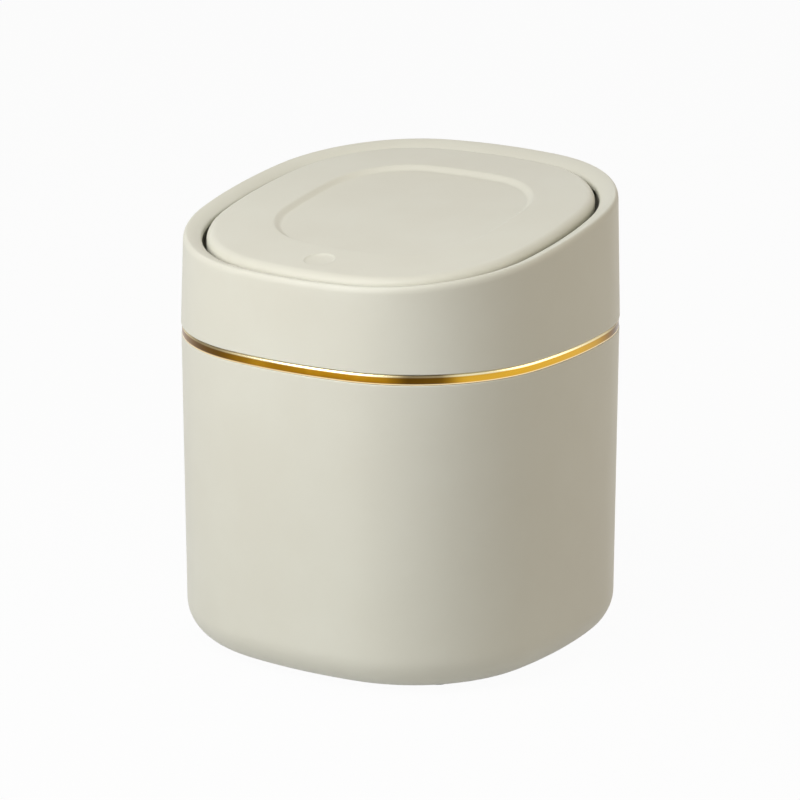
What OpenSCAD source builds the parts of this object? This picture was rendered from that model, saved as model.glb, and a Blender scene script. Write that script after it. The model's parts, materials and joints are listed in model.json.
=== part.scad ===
// Countertop bin with a press-to-open lid.
// Millimetres, +Z up, front at -Y. The origin is the centre of the footprint, on the table.

/* [Body outline] */
// Width and depth of the body across its bowed sides
body_w = 150; // [140:1:165]
// Radius of the bowed sides, seen from above
side_bow_r = 170; // [140:1:240]
// Radius of the four corners, seen from above
corner_r = 58; // [50:1:62]
// Flat pieces along each side of the outline
side_steps = 6; // [4:2:8]
// Flat pieces round each corner of the outline
corner_steps = 12; // [8:1:16]

/* [Bucket] */
// Height of the bucket's shoulder, where the trim ring sits
shoulder_z = 115; // [100:1:125]
// How far the wall draws in from the shoulder down to the table
wall_draft = 0.9; // [0:0.1:2]
// Radius of the bucket's bottom edge
bottom_r = 13.5; // [8:0.5:15]
// Wall and floor of the bucket
bucket_wall = 2.6; // [2:0.1:3.2]
// Height of the neck that stands above the shoulder
neck_h = 6; // [4:0.5:6.5]
// Wall of the neck
neck_wall = 1.8; // [1.4:0.1:2.4]
// How far the rubber feet stand out below the bucket
foot_proud = 0.8; // [0.5:0.1:2]
// Radius of a rubber foot
foot_r = 5; // [3:0.5:7]
// Depth of the pocket that holds a foot
foot_pocket = 0.9; // [0.5:0.1:1.4]
// Distance of each foot's centre from the body's outer wall
foot_inset = 31; // [29:1:37]

/* [Trim ring] */
// Height of the visible trim ring
trim_h = 3.9; // [2.5:0.1:6]
// How far the trim ring's face lies behind the wall
trim_inset = 0.3; // [0:0.05:0.6]
// Bevel along both edges of the trim ring's face
trim_bevel = 0.5; // [0.2:0.05:0.9]
// Shadow gap between the trim ring and the collar
trim_gap = 0.2; // [0.1:0.05:0.3]

/* [Collar] */
// Height of the rim at the middle of the body
rim_mid_z = 159; // [154:0.5:170]
// Slope of the rim and the lid, rising to the back
rim_tilt = 8; // [4:0.5:9]
// Wall of the collar
collar_wall = 2.6; // [2.2:0.1:2.7]
// How far the collar's outer face draws in from its foot up to the rim
collar_draft = 1.1; // [0.6:0.1:1.3]
// Width of the rim's outer rounding, seen from above
rim_round = 1.4; // [1:0.1:1.8]
// Height of the rim's outer rounding
rim_round_h = 2.8; // [1.5:0.1:3.5]
// Distance of the well that holds the lid from the outer wall
well_inset = 8; // [7.7:0.1:8.2]
// Fall of the rim's inner slope, from the crest down to the well
well_drop = 2.6; // [2.2:0.1:2.8]
// Depth of the well's upright edge below the slope
well_edge = 1.8; // [1.2:0.1:2.4]
// Wall of the rim's inner slope
rim_wall = 1.8; // [1.4:0.1:2.2]

/* [Lid] */
// Gap all round between the lid and its well
lid_gap = 1.6; // [1.4:0.1:2]
// How far the lid's face lies below the rim
lid_sink = 0.1; // [0:0.1:0.5]
// Depth of the lid's edge
lid_edge = 6.5; // [6.2:0.1:7]
// Rounding of the lid's upper edge
lid_round = 3.4; // [2.4:0.1:3.6]
// Wall of the lid
lid_wall = 1.9; // [1.6:0.1:2]
// Half width of the dished field in the lid
field_half = 43.3; // [40:0.1:45]
// Distance of the dished field's centre behind the lid's centre
field_back = 1.9; // [0:0.1:5]
// Corner radius of the dished field
field_corner_r = 30.5; // [26:0.5:36]
// Bow radius of the dished field's sides
field_bow_r = 170; // [120:5:240]
// Depth of the dished field
field_depth = 1.6; // [0.8:0.1:1.7]
// Width of the soft step round the dished field
field_step = 3.2; // [2:0.1:5]
// Distance of the finger dimple from the body's front wall
dimple_inset = 22.5; // [21:0.5:24]
// Radius of the finger dimple
dimple_r = 5.2; // [4:0.1:7]
// Depth of the finger dimple
dimple_depth = 0.8; // [0.4:0.1:1]
// Thickness of the plate under the lid
plate_t = 2; // [1.6:0.1:2.2]
// Distance of the plate's upper face below the lid's face
plate_drop = 4; // [3.8:0.1:4.2]

/* [Hinge] */
// Distance of the hinge pins from the body's rear wall
hinge_rear = 53.7; // [53:0.1:56]
// Distance of the hinge pins below the lid's face
hinge_drop = 6.5; // [6.4:0.1:6.8]
// Distance of the hinge bosses' inner faces from the body's outer wall
hinge_inset = 26.7; // [26.4:0.1:27]
// Length of a hinge boss on the throat
hinge_boss_l = 4; // [3:0.1:4.2]
// Outer radius of the bosses and barrels
hinge_boss_r = 3.1; // [2.8:0.1:3.2]
// Radius of a hinge pin
pin_r = 1.5; // [1.2:0.1:1.6]
// Running clearance round the pin, on the radius
pin_fit = 0.05; // [0.03:0.01:0.08]
// Length of a lid barrel
barrel_l = 3; // [2.4:0.1:3.1]
// Thickness of a hinge pin's head
pin_head_t = 1.3; // [1:0.1:1.4]
// Side clearance between the pieces on a hinge pin
hinge_play = 0.3; // [0.2:0.05:0.35]
// Thickness of the retaining clips
clip_t = 0.6; // [0.4:0.1:0.7]
// Wire of the opening springs
opener_wire = 0.7; // [0.5:0.05:0.75]
// Spacing of the opening springs' curls
opener_pitch = 1.15; // [1.12:0.01:1.2]

/* [Latch] */
// Distance of the latch from the body's front wall
latch_inset = 24.5; // [23:0.5:27]
// Distance of the latch's grip below the lid's face
grip_drop = 11; // [10.8:0.1:12]
// Inner width of the latch housing
latch_in_w = 12; // [11.6:0.1:12.6]
// Inner depth of the latch housing
latch_in_d = 10; // [9.6:0.1:10.6]
// Wall of the latch housing
latch_wall = 1.2; // [1:0.1:1.5]
// Radius of the striker's round head
striker_r = 1.8; // [1.5:0.1:1.9]
// Wire of the latch spring
latch_wire = 0.8; // [0.6:0.1:0.9]
// Curls of the latch spring
latch_curls = 5; // [4:1:5]

/* [Throat] */
// Distance of the throat's flange below the lid's face
flange_drop = 20; // [19:0.5:20.5]
// Thickness of the flange
flange_t = 2.4; // [2:0.1:3]
// Distance of the flange's opening from the body's outer wall
throat_inset = 7.8; // [7.6:0.1:7.9]
// Distance of the chute's inner face from the body's outer wall
chute_inset = 8.3; // [8.1:0.1:8.4]
// Wall of the chute below the flange
chute_wall = 1.2; // [1:0.1:1.3]
// Length of the chute below the flange
chute_l = 11; // [6:0.5:12]

/* [Screws] */
// Radius of a screw's shank
screw_r = 1.2; // [1:0.1:1.3]
// Radius of a screw's head
screw_head_r = 2.1; // [1.9:0.1:2.2]
// Height of a screw's head
screw_head_h = 1.3; // [1:0.1:1.6]
// Radius of the collar's screw posts
post_r = 2.45; // [2.2:0.05:2.5]

/* [Hidden] */
$fn = 48;

shell_colour = [0.83, 0.82, 0.76];
inner_colour = [0.78, 0.77, 0.72];
gold_colour = [0.80, 0.58, 0.20];
steel_colour = [0.70, 0.71, 0.72];
rubber_colour = [0.25, 0.25, 0.24];
acetal_colour = [0.92, 0.92, 0.90];

// A fit between pieces that slide past or sit in one another
slide_fit = 0.3;
// A seat between pieces that rest face to face
seat_fit = 0.1;
// Sinks a joint a little into a face
eps = 0.02;
// Carries a cut well past a face
cut_over = 1;
// Fit of the collar over the bucket's neck
neck_fit = 0.4;

half_w = body_w / 2;
slope = tan(rim_tilt);
lid_z = rim_mid_z - lid_sink;
lid_inset = well_inset + lid_gap;
collar_z = shoulder_z + trim_h;
neck_inset = collar_wall + neck_fit;
neck_top = shoulder_z + neck_h;
foot_place = half_w - foot_inset;
hinge_back = half_w - hinge_rear;
hinge_x = half_w - hinge_inset;
latch_front = half_w - latch_inset;
dimple_front = half_w - dimple_inset;
quarter_turn = 90;

// Plan outline of tangent arcs: four bowed sides and four corners, drawn in by inset
function joint_angle(half, bow, corner) = acos((bow - half) / (bow - corner) / sqrt(2)) - 45;
function corner_centre(half, bow, corner) =
    (bow - corner) * cos(joint_angle(half, bow, corner)) - (bow - half);
function quarter(half, bow, corner, inset) =
    let (turn = joint_angle(half, bow, corner), centre = corner_centre(half, bow, corner))
    concat(
        [for (i = [0:side_steps])
            let (a = -turn + 2 * turn * i / side_steps)
            [half - bow + (bow - inset) * cos(a), (bow - inset) * sin(a)]],
        [for (i = [1:corner_steps - 1])
            let (a = turn + (90 - 2 * turn) * i / corner_steps)
            [centre + (corner - inset) * cos(a), centre + (corner - inset) * sin(a)]]);
function turned(p, a) = [p.x * cos(a) - p.y * sin(a), p.x * sin(a) + p.y * cos(a)];
function outline(half, bow, corner, inset) =
    [for (a = [0:90:270]) for (p = quarter(half, bow, corner, inset)) turned(p, a)];

// A ring of points at height z, sloping by rise per millimetre of depth
function body_ring(inset, z, rise = 0) =
    [for (p = outline(half_w, side_bow_r, corner_r, inset)) [p.x, p.y, z + rise * p.y]];
function field_ring(inset, z, rise = 0) =
    [for (p = outline(field_half, field_bow_r, field_corner_r, inset))
        [p.x, p.y + field_back, z + rise * (p.y + field_back)]];
// A ring at a depth below the lid's sloping face
function lid_ring(inset, depth) = body_ring(inset, lid_z - depth, slope);
function dish_ring(inset, depth) = field_ring(inset, lid_z - depth, slope);
// A ring at a height above the rim's sloping plane
function rim_ring(inset, height) = body_ring(inset, rim_mid_z + height, slope);

// Skin through a stack of rings, closed by flat ends
module capped_loft(rings) {
    count = len(rings[0]);
    last = len(rings) - 1;
    polyhedron(
        points = [for (r = rings) each r],
        faces = concat(
            [[for (i = [0:count - 1]) i]],
            [for (k = [0:last - 1]) for (i = [0:count - 1])
                [k * count + i, (k + 1) * count + i, (k + 1) * count + (i + 1) % count]],
            [for (k = [0:last - 1]) for (i = [0:count - 1])
                [k * count + i, (k + 1) * count + (i + 1) % count, k * count + (i + 1) % count]],
            [[for (i = [count - 1:-1:0]) last * count + i]]),
        convexity = 6);
}

// Skin through a stack of rings whose last ring meets the first
module closed_loft(rings) {
    count = len(rings[0]);
    total = len(rings);
    polyhedron(
        points = [for (r = rings) each r],
        faces = concat(
            [for (k = [0:total - 1]) for (i = [0:count - 1])
                [k * count + i, ((k + 1) % total) * count + i,
                 ((k + 1) % total) * count + (i + 1) % count]],
            [for (k = [0:total - 1]) for (i = [0:count - 1])
                [k * count + i, ((k + 1) % total) * count + (i + 1) % count,
                 k * count + (i + 1) % count]]),
        convexity = 6);
}

// Tube swept along points, for springs
function unit(v) = v / norm(v);
function path_dir(path, i) =
    unit(path[min(i + 1, len(path) - 1)] - path[max(i - 1, 0)]);
module wire_tube(path, radius, side) {
    sides = 6;
    rings = [for (i = [0:len(path) - 1])
        let (d = path_dir(path, i), u = unit(cross(d, side(i))), v = cross(d, u))
        [for (j = [0:sides - 1])
            path[i] + radius * (u * cos(360 * j / sides) + v * sin(360 * j / sides))]];
    capped_loft(rings);
}

// Frame of the sloping lid: its face is the plane z = 0
module in_lid_frame() {
    translate([0, 0, lid_z])
        rotate([rim_tilt, 0, 0])
            children();
}

// Bucket
bottom_z = foot_proud;
bottom_steps = 6;
inner_bottom_r = bottom_r - bucket_wall;
foot_inset_z = bottom_z + bottom_r;
draft_at_bottom = wall_draft * (shoulder_z - foot_inset_z) / (shoulder_z - bottom_z);
edge_break = 0.3;
neck_chamfer = 0.6;
neck_root_depth = 2;
wall_top_depth = 5;

module bucket_shell() {
    inner = draft_at_bottom + bucket_wall;
    capped_loft(concat(
        [for (i = [bottom_steps:-1:0])
            let (t = quarter_turn * i / bottom_steps)
            body_ring(draft_at_bottom + bottom_r * (1 - cos(t)),
                      bottom_z + bottom_r * (1 - sin(t)))],
        [body_ring(0, shoulder_z - edge_break),
         body_ring(edge_break, shoulder_z),
         body_ring(neck_inset, shoulder_z),
         body_ring(neck_inset, neck_top - neck_chamfer),
         body_ring(neck_inset + neck_chamfer, neck_top),
         body_ring(neck_inset + neck_wall, neck_top),
         body_ring(neck_inset + neck_wall, shoulder_z - neck_root_depth),
         body_ring(bucket_wall, shoulder_z - wall_top_depth)],
        [for (i = [0:bottom_steps])
            let (t = quarter_turn * i / bottom_steps)
            body_ring(inner + inner_bottom_r * (1 - cos(t)),
                      bottom_z + bucket_wall + inner_bottom_r * (1 - sin(t)))]));
}

module bucket() {
    color(shell_colour)
        difference() {
            bucket_shell();
            for (x = [-1, 1], y = [-1, 1])
                translate([x * foot_place, y * foot_place, bottom_z - eps])
                    cylinder(r = foot_r + seat_fit, h = foot_pocket + eps);
        }
}

foot_chamfer = 0.4;
module foot(x, y) {
    foot_h = foot_proud + foot_pocket;
    color(rubber_colour)
        translate([x * foot_place, y * foot_place, 0])
            rotate_extrude()
                polygon([[0, 0], [foot_r - foot_chamfer, 0], [foot_r, foot_chamfer],
                         [foot_r, foot_h], [0, foot_h]]);
}
module foot_front_left() { foot(-1, -1); }
module foot_front_right() { foot(1, -1); }
module foot_back_left() { foot(-1, 1); }
module foot_back_right() { foot(1, 1); }

// Trim ring between the bucket's shoulder and the collar
module trim_ring() {
    low = shoulder_z + seat_fit;
    high = collar_z - trim_gap;
    inner = neck_inset - slide_fit;
    color(gold_colour)
        closed_loft([
            body_ring(trim_inset + trim_bevel, low),
            body_ring(trim_inset, low + trim_bevel),
            body_ring(trim_inset, high - trim_bevel),
            body_ring(trim_inset + trim_bevel, high),
            body_ring(inner, high),
            body_ring(inner, low)]);
}

// Collar, with the sloping rim and the well that the lid sits in
crest_steps = 4;
slope_steps = 5;
slope_share = 0.35;
crest_inset = collar_draft + rim_round;
function rim_drop(u) = well_drop * (slope_share * u + (1 - slope_share) * u * u);
function rim_drop_at(inset) = rim_drop((inset - crest_inset) / (well_inset - crest_inset));
lip_back_inset = well_inset - rim_wall;

module collar_shell() {
    closed_loft(concat(
        [body_ring(edge_break, collar_z),
         body_ring(0, collar_z + edge_break)],
        [for (i = [0:crest_steps])
            let (t = quarter_turn * i / crest_steps)
            rim_ring(collar_draft + rim_round * (1 - cos(t)), -rim_round_h * (1 - sin(t)))],
        [for (i = [1:slope_steps])
            let (u = i / slope_steps)
            rim_ring(crest_inset + (well_inset - crest_inset) * u, -rim_drop(u))],
        [rim_ring(well_inset, -well_drop - well_edge),
         rim_ring(lip_back_inset, -well_drop - well_edge),
         rim_ring(lip_back_inset, -rim_drop_at(lip_back_inset) - rim_wall),
         rim_ring(collar_wall + edge_break, -rim_drop_at(collar_wall) - rim_wall),
         rim_ring(collar_wall, -rim_drop_at(collar_wall) - rim_wall - edge_break),
         body_ring(collar_wall, collar_z)]));
}

// Six screw posts: one in each corner, one at the front and one at the back
post_sink = 0.25;
seat_gap = 0.2;
post_inset = collar_wall + post_r - post_sink;
seat_r = post_inset - collar_wall - seat_gap;
body_corner = corner_centre(half_w, side_bow_r, corner_r);
function corner_place(inset) = body_corner + (corner_r - inset) * cos(45);
post_corner = corner_place(post_inset);
post_middle = half_w - post_inset;
post_places = concat(
    [for (x = [-1, 1], y = [-1, 1]) [x * post_corner, y * post_corner]],
    [[0, -post_middle], [0, post_middle]]);
screw_fit = 0.05;
seat_rise = 0.6;
function flange_top(y) = lid_z + slope * y - flange_drop;
function seat_top(y) = flange_top(y) + seat_rise;
function seat_low(y) = flange_top(y) - flange_t - seat_rise;
post_screw_l = 9;
screw_spare = 1;
post_cover = 2.6;

module collar() {
    color(shell_colour)
        difference() {
            union() {
                collar_shell();
                for (p = post_places)
                    translate([p.x, p.y, seat_top(p.y)])
                        cylinder(r = post_r, h = flange_drop - seat_rise - post_cover);
            }
            for (p = post_places)
                translate([p.x, p.y, seat_top(p.y) - eps])
                    cylinder(r = screw_r + screw_fit, h = post_screw_l);
        }
}

// Pan-head screw, its head's underside at z = 0 and its shank along +Z
module screw(length) {
    head_edge = 0.4;
    rotate_extrude()
        polygon([[0, length], [screw_r, length], [screw_r, 0], [screw_head_r, 0],
                 [screw_head_r, head_edge - screw_head_h],
                 [screw_head_r - head_edge, -screw_head_h], [0, -screw_head_h]]);
}

// Hinge line and latch grip, in the lid's frame and in the part's frame
hinge_y = hinge_back * cos(rim_tilt) + hinge_drop * sin(rim_tilt);
hinge_z = lid_z + hinge_back * sin(rim_tilt) - hinge_drop * cos(rim_tilt);
grip_angle = atan2(grip_drop - hinge_drop, hinge_back + latch_front);
latch_tilt = rim_tilt + grip_angle;
grip_y = -latch_front * cos(rim_tilt) + grip_drop * sin(rim_tilt);
grip_z = lid_z - latch_front * sin(rim_tilt) - grip_drop * cos(rim_tilt);
grip_radius = norm([grip_y - hinge_y, grip_z - hinge_z]);
press_angle = 1.5;
echo(hinge = [hinge_y, hinge_z], grip = [grip_y, grip_z], latch_tilt = latch_tilt,
     grip_radius = grip_radius);

module in_latch_frame() {
    translate([0, grip_y, grip_z])
        rotate([latch_tilt, 0, 0])
            children();
}
module along_x(x) {
    translate([x, hinge_y, hinge_z])
        rotate([0, 90, 0])
            children();
}

// Places along a hinge pin, outward from the centre line
opener_whole_turns = 2;
opener_turns = opener_whole_turns + (90 - rim_tilt) / 360;
opener_w = opener_wire + opener_pitch * opener_turns;
boss_out = hinge_x + hinge_boss_l;
opener_in = boss_out + hinge_play;
barrel_in = opener_in + opener_w + hinge_play;
barrel_out = barrel_in + barrel_l;
clip_in = barrel_out + hinge_play / 2;
pin_end = 0.5;
pin_out = clip_in + clip_t + pin_end;
pin_in = hinge_x - hinge_play;
pin_head_rim = 0.8;
clip_groove = 0.35;
clip_rim = 1;
clip_r = pin_r + clip_rim;

// Throat: a flange under the rim, a chute, the hinge bosses and the latch shelf
flange_edge_gap = 0.6;
flange_out = collar_wall + flange_edge_gap;
web_half = 2.4;
web_drop = 8;
chute_mid = chute_inset - chute_wall / 2;
function width_at(y, inset) =
    body_corner + sqrt(pow(corner_r - inset, 2) - pow(max(y - body_corner, 0), 2));
web_out = width_at(hinge_y + web_half, chute_mid);
shelf_half = 15;
shelf_t = 3;
shelf_top = -12;
shelf_back = 9;
shelf_front = (grip_y + half_w - chute_mid) / cos(latch_tilt)
    - (shelf_top - shelf_t / 2) * tan(latch_tilt);
ear_x = 10.5;
pad_r = 2.4;
pad_t = 2;
pad_base_r = 4.5;
pad_place = corner_place(lid_inset + lid_wall / 2);
pad_press = (pad_place + hinge_y) * sin(press_angle);
pad_top = -lid_edge * cos(rim_tilt) - pad_press - slide_fit;
pad_foot = -(flange_drop + flange_t / 2) * cos(rim_tilt);

module throat_ring() {
    low = flange_drop + flange_t;
    closed_loft([
        lid_ring(flange_out, low),
        lid_ring(flange_out, flange_drop),
        lid_ring(throat_inset, flange_drop),
        lid_ring(chute_inset, low),
        lid_ring(chute_inset, low + chute_l),
        lid_ring(chute_inset - chute_wall, low + chute_l),
        lid_ring(chute_inset - chute_wall, low)]);
}

module hinge_boss(side) {
    inner = side > 0 ? hinge_x : -boss_out;
    outer = side > 0 ? hinge_x : -web_out;
    web_l = web_out - hinge_x;
    foot_z = flange_top(hinge_y) - flange_t;
    along_x(inner)
        cylinder(r = hinge_boss_r, h = hinge_boss_l);
    translate([inner, hinge_y - web_half, hinge_z - web_drop - eps])
        cube([hinge_boss_l, 2 * web_half, web_drop + eps]);
    translate([outer, hinge_y - web_half, foot_z])
        cube([web_l, 2 * web_half, hinge_z - web_drop - foot_z]);
}

module throat() {
    color(inner_colour)
        difference() {
            union() {
                throat_ring();
                for (p = post_places)
                    translate([p.x, p.y, seat_low(p.y)])
                        cylinder(r = seat_r, h = seat_top(p.y) - seat_low(p.y));
                for (side = [-1, 1])
                    hinge_boss(side);
                in_latch_frame()
                    translate([-shelf_half, -shelf_front, shelf_top - shelf_t])
                        cube([2 * shelf_half, shelf_front + shelf_back, shelf_t]);
                for (x = [-1, 1])
                    in_lid_frame()
                        translate([x * pad_place, -pad_place / cos(rim_tilt), pad_foot]) {
                            cylinder(r = pad_base_r, h = flange_t / 2 * cos(rim_tilt));
                            cylinder(r = pad_r, h = pad_top - pad_t - pad_foot);
                        }
            }
            for (p = post_places)
                translate([p.x, p.y, seat_low(p.y) - eps])
                    cylinder(r = screw_r + seat_fit, h = seat_top(p.y) - seat_low(p.y) + 2 * eps);
            for (side = [-1, 1])
                along_x((side > 0 ? hinge_x : -boss_out) - cut_over)
                    cylinder(r = pin_r + pin_fit, h = hinge_boss_l + 2 * cut_over);
            in_latch_frame() {
                translate([-latch_out_w / 2 - slide_fit, -latch_out_d / 2 - slide_fit,
                           shelf_top - shelf_t - cut_over])
                    cube([latch_out_w + 2 * slide_fit, latch_out_d + 2 * slide_fit,
                          shelf_t + 2 * cut_over]);
                for (x = [-1, 1])
                    translate([x * ear_x, 0, shelf_top - shelf_t - cut_over])
                        cylinder(r = screw_r + screw_fit, h = shelf_t + 2 * cut_over);
            }
        }
}

module throat_screws() {
    grip_l = seat_top(0) - seat_low(0);
    color(steel_colour)
        for (p = post_places)
            translate([p.x, p.y, seat_low(p.y)])
                screw(grip_l + post_screw_l - screw_spare);
}

module stop_pads() {
    color(rubber_colour)
        for (x = [-1, 1])
            in_lid_frame()
                translate([x * pad_place, -pad_place / cos(rim_tilt), pad_top - pad_t])
                    cylinder(r = pad_r, h = pad_t);
}

// Latch: a housing with a sprung plunger whose jaws hold the striker
housing_top = -2.5;
housing_low = -22.5;
plunger_top = -7;
plunger_low = -13;
ear_t = 1.8;
ear_half = 13.5;
ear_d = 4;
follower_in = 0.7;
follower_y = latch_in_d / 2 - follower_in;
follower_r = 0.5;
follower_hook = 2;
groove_half = 1.2;
groove_depth = 0.9;
groove_y = follower_y - groove_depth;
latch_out_w = latch_in_w + 2 * latch_wall;
latch_out_d = latch_in_d + 2 * latch_wall;
cup_r = 3.3;
cup_depth = 2.5;

module latch_housing() {
    color(acetal_colour)
        in_latch_frame()
            difference() {
                union() {
                    translate([-latch_out_w / 2, -latch_out_d / 2, housing_low])
                        cube([latch_out_w, latch_out_d, housing_top - housing_low]);
                    translate([-ear_half, -ear_d, shelf_top])
                        cube([2 * ear_half, 2 * ear_d, ear_t]);
                }
                translate([-latch_in_w / 2, -latch_in_d / 2, housing_low + latch_wall])
                    cube([latch_in_w, latch_in_d, housing_top - housing_low]);
                translate([0, follower_y, housing_low - cut_over])
                    cylinder(r = follower_r + seat_fit, h = latch_wall + 2 * cut_over);
                for (x = [-1, 1])
                    translate([x * ear_x, 0, shelf_top - cut_over])
                        cylinder(r = screw_r + seat_fit, h = ear_t + 2 * cut_over);
            }
}

module latch_screws() {
    color(steel_colour)
        in_latch_frame()
            for (x = [-1, 1])
                translate([x * ear_x, 0, shelf_top + ear_t])
                    rotate([180, 0, 0])
                        screw(ear_t + shelf_t);
}

spring_low = housing_low + latch_wall + latch_wire / 2 + seat_fit;
spring_high = plunger_low + cup_depth - latch_wire / 2 - seat_fit;
spring_r = cup_r - latch_wire / 2 - slide_fit;
curl_rings = 8;
latch_path = [for (i = [0:latch_curls * curl_rings])
    let (a = 360 * i / curl_rings)
    [spring_r * cos(a), spring_r * sin(a),
     spring_low + (spring_high - spring_low) * i / (latch_curls * curl_rings)]];

module latch_spring() {
    color(steel_colour)
        in_latch_frame()
            wire_tube(latch_path, latch_wire / 2, function (i) [0, 0, 1]);
}

module latch_follower() {
    tip_z = plunger_low + follower_hook;
    color(steel_colour)
        in_latch_frame() {
            translate([0, follower_y, housing_low + seat_fit])
                cylinder(r = follower_r, h = tip_z - housing_low);
            translate([0, follower_y, tip_z])
                rotate([90, 0, 0])
                    cylinder(r = follower_r - seat_fit, h = follower_y - groove_y - slide_fit);
        }
}

cheek_h = 3;
module latch_plunger() {
    w = latch_in_w / 2 - slide_fit;
    d = latch_in_d / 2 - slide_fit;
    jaw_room = jaw_depth / 2 + slide_fit;
    color(acetal_colour)
        in_latch_frame()
            difference() {
                union() {
                    translate([-w, -d, plunger_low])
                        cube([2 * w, 2 * d, plunger_top - plunger_low]);
                    translate([-w, -d, plunger_top - eps])
                        cube([2 * w, d - jaw_room, cheek_h]);
                    translate([-w, jaw_room, plunger_top - eps])
                        cube([2 * w, d - jaw_room, cheek_h]);
                }
                translate([0, 0, plunger_low - eps])
                    cylinder(r = cup_r, h = cup_depth + eps);
                translate([-groove_half, groove_y, plunger_low - cut_over])
                    cube([2 * groove_half, latch_in_d,
                          plunger_top - plunger_low + cheek_h + 2 * cut_over]);
            }
}

// Jaws: one springy clip whose two hooks close under the striker's head
jaw_arm = 1;
jaw_half = 4.2;
jaw_depth = 5.6;
hook_share = 0.72;
hook_low = striker_r * hook_share;
hook_t = 1.1;
hook_gap = 0.4;
stem_half = 1.1;
hook_in = stem_half + hook_gap;
jaw_side = [
    [jaw_half, plunger_top],
    [jaw_half, hook_low + hook_t / 2],
    [jaw_half - jaw_arm, hook_low + hook_t],
    [hook_in, hook_low + hook_t / 2],
    [hook_in, hook_low],
    [jaw_half - jaw_arm, hook_low],
    [jaw_half - jaw_arm, plunger_top + jaw_arm]];
module latch_jaws() {
    color(acetal_colour)
        in_latch_frame()
            rotate([90, 0, 0])
                translate([0, 0, -jaw_depth / 2])
                    linear_extrude(height = jaw_depth)
                        polygon(concat(jaw_side, [for (i = [len(jaw_side) - 1:-1:0])
                            [-jaw_side[i].x, jaw_side[i].y]]));
}

// Hinge pins, their clips and the opening springs
module hinge_pin(side) {
    groove_r = pin_r - clip_groove;
    color(steel_colour)
        translate([0, hinge_y, hinge_z])
            rotate([0, side * 90, 0])
                rotate_extrude()
                    polygon([
                        [0, pin_in - pin_head_t], [pin_r + pin_head_rim, pin_in - pin_head_t],
                        [pin_r + pin_head_rim, pin_in], [pin_r, pin_in],
                        [pin_r, clip_in], [groove_r, clip_in],
                        [groove_r, clip_in + clip_t], [pin_r, clip_in + clip_t],
                        [pin_r, pin_out], [0, pin_out]]);
}
module hinge_pin_left() { hinge_pin(-1); }
module hinge_pin_right() { hinge_pin(1); }

module hinge_clips() {
    groove_r = pin_r - clip_groove + screw_fit;
    color(steel_colour)
        for (side = [-1, 1])
            translate([0, hinge_y, hinge_z])
                rotate([0, side * 90, 0])
                    translate([0, 0, clip_in + eps])
                        difference() {
                            cylinder(r = clip_r, h = clip_t - 2 * eps);
                            translate([0, 0, -cut_over])
                                cylinder(r = groove_r, h = clip_t + 2 * cut_over);
                            translate([-groove_r, 0, -cut_over])
                                cube([2 * groove_r, clip_r + cut_over, clip_t + 2 * cut_over]);
                        }
}

opener_r = hinge_drop - plate_drop * cos(rim_tilt) + opener_wire / 2 + screw_fit;
opener_leg = 11;
opener_arm = 12;
opener_start = 90 + rim_tilt;
opener_curl_rings = 12;
opener_count = floor(opener_turns * opener_curl_rings);
function opener_point(i, side) =
    let (a = opener_start + 360 * opener_turns * i / opener_count)
    [side * (opener_in + opener_wire / 2 + opener_pitch * opener_turns * i / opener_count),
     hinge_y + opener_r * cos(a), hinge_z + opener_r * sin(a)];
function opener_path(side) = concat(
    [opener_point(0, side) + opener_leg * [0, cos(rim_tilt), sin(rim_tilt)],
     opener_point(0, side) + opener_wire * [0, cos(rim_tilt), sin(rim_tilt)]],
    [for (i = [0:opener_count]) opener_point(i, side)],
    [opener_point(opener_count, side) - opener_wire * [0, 0, 1],
     opener_point(opener_count, side) - opener_arm * [0, 0, 1]]);
function self_gap(path, wire, apart) =
    min([for (i = [0:len(path) - 1]) for (j = [i + apart:1:len(path) - 1])
        norm(path[i] - path[j])]) - wire;
echo(opener_spring_gap = self_gap(opener_path(1), opener_wire, floor(opener_curl_rings / 2)));
echo(latch_spring_gap = self_gap(latch_path, latch_wire, curl_rings / 2));

module opener(side) {
    color(steel_colour)
        wire_tube(opener_path(side), opener_wire / 2, function (i) [1, 0, 0]);
}
module opener_left() { opener(-1); }
module opener_right() { opener(1); }

// Lid: the visible top with its dished field, and the plate under it
round_steps = 4;
field_steps = 5;
field_cap = 1;
corner_fill = lid_round / 2;
function field_fall(t) = field_depth * (1 - cos(180 * t)) / 2;
function dimple_ball_r() = (dimple_r * dimple_r + dimple_depth * dimple_depth) / (2 * dimple_depth);
lid_screw_y = -10;
lid_screw_side = 21;
lid_screw_corner = 40;
lid_screw_end = 25;
lid_screw_rows = [
    [half_w - lid_screw_side, lid_screw_y],
    [half_w - lid_screw_corner, lid_screw_end - half_w],
    [half_w - lid_screw_corner, half_w - lid_screw_side]];
lid_screw_places = [for (r = lid_screw_rows) for (side = [-1, 1]) [side * r.x, r.y]];
lid_post_r = 2.5;
lid_screw_depth = 3;

module lid_shell() {
    capped_loft(concat(
        [for (i = [field_steps:-1:0])
            let (t = i / field_steps)
            dish_ring(field_step * t - field_cap, lid_wall + field_fall(t))],
        [lid_ring(lid_inset + lid_wall + corner_fill, lid_wall),
         lid_ring(lid_inset + lid_wall, lid_wall + corner_fill),
         lid_ring(lid_inset + lid_wall, lid_edge),
         lid_ring(lid_inset + edge_break, lid_edge),
         lid_ring(lid_inset, lid_edge - edge_break)],
        [for (i = [0:round_steps])
            let (t = quarter_turn * i / round_steps)
            lid_ring(lid_inset + lid_round * (1 - cos(t)), lid_round * (1 - sin(t)))],
        [for (i = [0:field_steps])
            let (t = i / field_steps)
            dish_ring(field_step * t, field_fall(t))]));
}

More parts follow.
